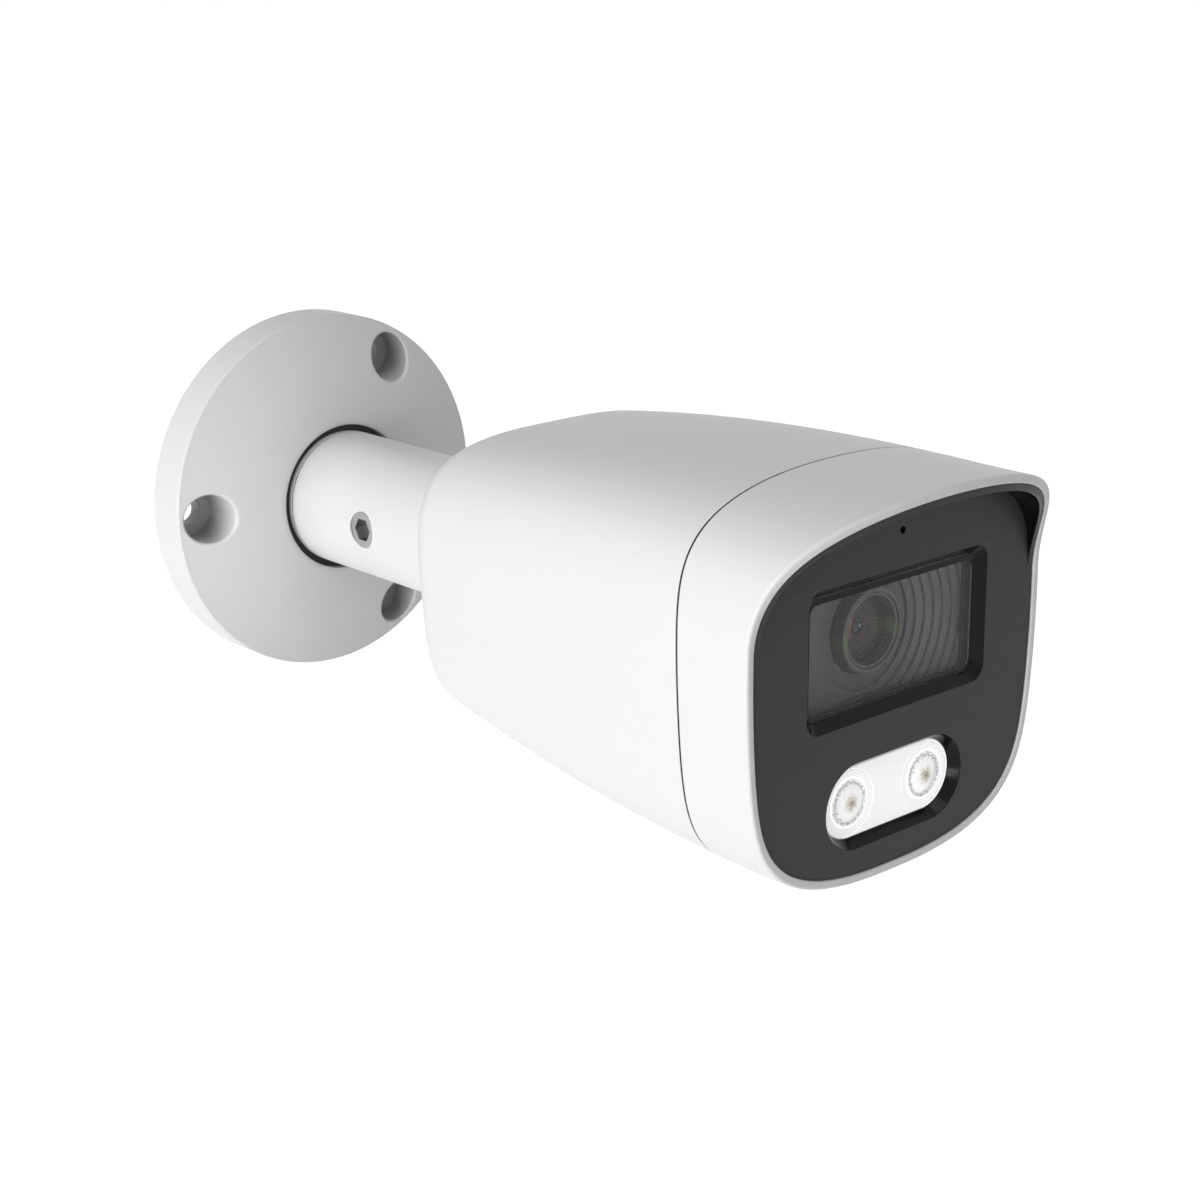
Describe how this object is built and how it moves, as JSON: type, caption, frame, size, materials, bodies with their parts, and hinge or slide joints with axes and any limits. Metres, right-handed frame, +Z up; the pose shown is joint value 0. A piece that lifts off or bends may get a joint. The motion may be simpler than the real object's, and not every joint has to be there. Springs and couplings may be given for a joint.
{
  "type": "security camera",
  "caption": "Bullet camera with a visored body, glass window and lamp panel, on a ball joint and a hollow arm that stands on a round screw-down wall base.",
  "frame": {"origin": "centre of the wall base's back face, in the plane of the wall", "axes": "+Z up, +Y into the wall, the camera looks along -Y, X across"},
  "size_m": [0.07, 0.167, 0.07],
  "materials": {
    "white_paint": "white powder coat on cast aluminium",
    "mask_black": "satin",
    "shroud_black": "fine stepped, matt",
    "window_glass": "polished, tinted",
    "lens_glass": "coated",
    "filter_glass": "coated",
    "rubber_black": "matt",
    "zinc_steel": "zinc plated",
    "black_steel": "black coated",
    "bare_aluminium": "machined",
    "nylon": "smooth",
    "black_plastic": "moulded",
    "white_plastic": "moulded",
    "clear_plastic": "clear lens",
    "green_board": "solder mask",
    "white_board": "solder mask",
    "chip_black": "moulded",
    "lamp_chip": "phosphor",
    "brass": "turned",
    "copper_wire": "enamelled winding",
    "silicone_pad": "soft",
    "foam": "open cell foam",
    "capacitor_can": "sleeved can",
    "desiccant_bag": "non-woven bag"
  },
  "bodies": {
    "base": {"base_plate": "white_paint", "pivot_spigot": "bare_aluminium", "spigot_screws": "zinc_steel", "cable_grommet": "rubber_black", "foot_seal": "rubber_black"},
    "arm": {"arm_tube": "white_paint", "ball_stud": "bare_aluminium"},
    "lock_screw": {"lock_screw": "zinc_steel"},
    "swivel": {"ball_cup": "bare_aluminium", "ball_seat": "nylon", "seat_nut": "black_plastic", "tilt_pins": "zinc_steel"},
    "camera": {"rear_housing": "white_paint", "friction_washer": "nylon", "cup_retainer": "zinc_steel", "retainer_screws": "zinc_steel", "housing_seal": "rubber_black", "front_ring": "white_paint", "mask_seal": "rubber_black", "front_mask": "mask_black", "window_glass": "window_glass", "window_gasket": "rubber_black", "lens_shroud": "shroud_black", "shroud_screws": "zinc_steel", "lens_foam": "foam", "case_screws": "zinc_steel", "chassis_plate": "bare_aluminium", "plate_screws": "zinc_steel", "board_spacers": "brass", "board_screws": "zinc_steel", "sensor_board": "green_board", "image_sensor": "chip_black", "lens_mount": "black_plastic", "lens_lock_ring": "black_plastic", "lens_barrel": "black_plastic", "front_lens": "lens_glass", "rear_lens": "lens_glass", "filter_coil": "copper_wire", "main_board": "green_board", "processor": "chip_black", "thermal_pad": "silicone_pad", "heat_sink": "bare_aluminium", "memory_chips": "chip_black", "board_connectors": "nylon", "power_board": "green_board", "network_transformer": "chip_black", "capacitors": "capacitor_can", "cable_header": "white_plastic", "lamp_board": "white_board", "lamp_chips": "lamp_chip", "lamp_lenses": "clear_plastic", "lamp_panel": "white_plastic", "lamp_screws": "zinc_steel", "microphone": "zinc_steel", "mic_boot": "rubber_black", "desiccant_pack": "desiccant_bag"},
    "filter_slider": {"filter_frame": "black_plastic", "day_filter": "filter_glass", "night_filter": "filter_glass"}
  },
  "joints": [
    {"name": "arm_turn", "type": "hinge", "parent": "base", "child": "arm", "pos_m": [0, -0.03665, 0], "axis": [0, 1, 0], "range_deg": [-180, 180]},
    {"name": "lock_screw_out", "type": "slide", "parent": "arm", "child": "lock_screw", "axis": [-1, 0, 0], "range_m": [0, 0.0015]},
    {"name": "tilt", "type": "hinge", "parent": "arm", "child": "swivel", "pos_m": [0, -0.07345, 0], "axis": [1, 0, 0], "range_deg": [-35, 35]},
    {"name": "body_turn", "type": "hinge", "parent": "swivel", "child": "camera", "pos_m": [0, -0.07345, 0], "axis": [0, 1, 0], "range_deg": [-180, 180]},
    {"name": "night_filter_shift", "type": "slide", "parent": "camera", "child": "filter_slider", "axis": [-1, 0, 0], "range_m": [0, 0.008]}
  ]
}
